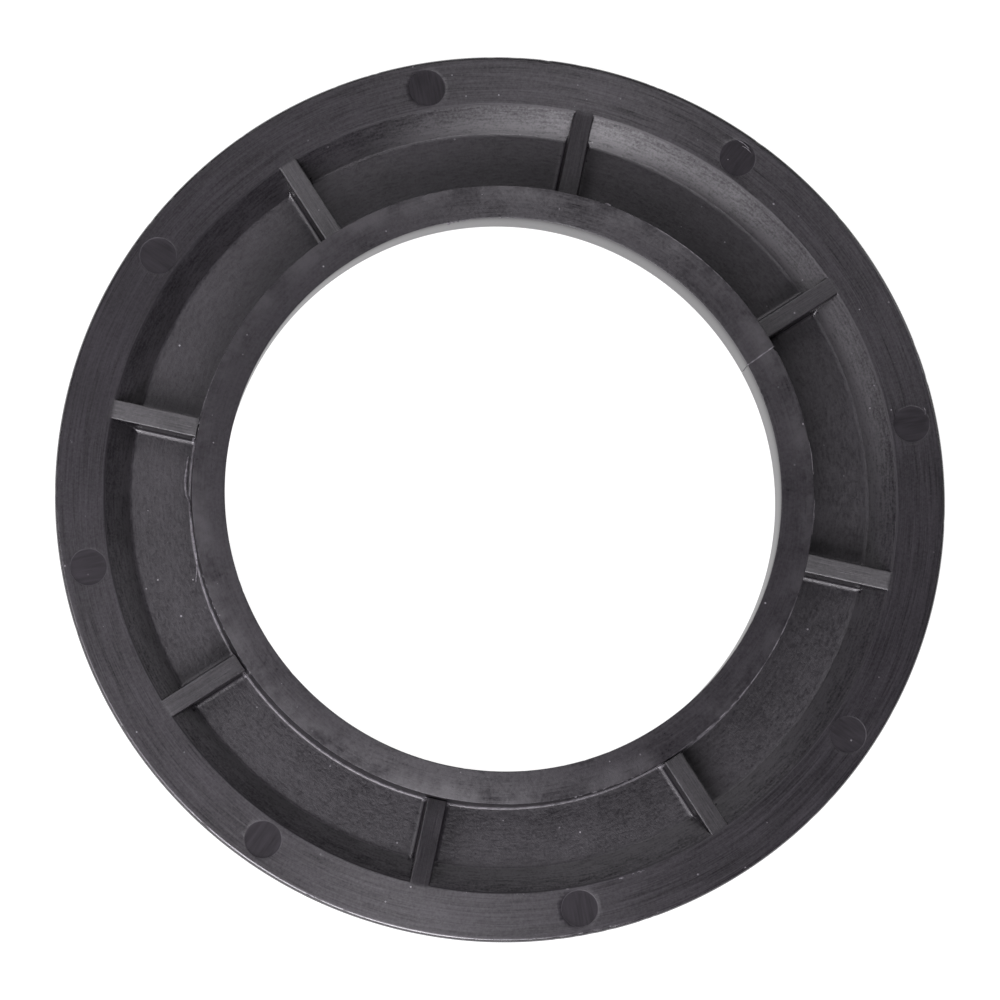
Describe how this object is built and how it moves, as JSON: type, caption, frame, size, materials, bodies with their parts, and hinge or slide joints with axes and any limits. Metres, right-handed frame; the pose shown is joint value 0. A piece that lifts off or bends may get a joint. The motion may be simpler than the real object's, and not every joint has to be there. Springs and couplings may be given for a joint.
{
  "type": "toilet flange ring",
  "caption": "Black plastic toilet flange ring with a raised collar round the pipe bore and radial ribs between the collar and a flat rim.",
  "frame": {"origin": "on the bore axis, at the smooth rear face", "axes": "+Z along the bore axis, from the smooth rear face towards the ribbed face and the collar; +X along the middle of one rib"},
  "size_m": [0.178, 0.178, 0.0106],
  "materials": {
    "flange_plastic": "satin charcoal, with a turned grain on the land and tool grain on the ribs",
    "collar_plastic": "satin charcoal on top, smooth and glossy in the bore"
  },
  "bodies": {
    "root": {"flange_ring": "flange_plastic", "collar_ring": "collar_plastic"}
  },
  "joints": []
}
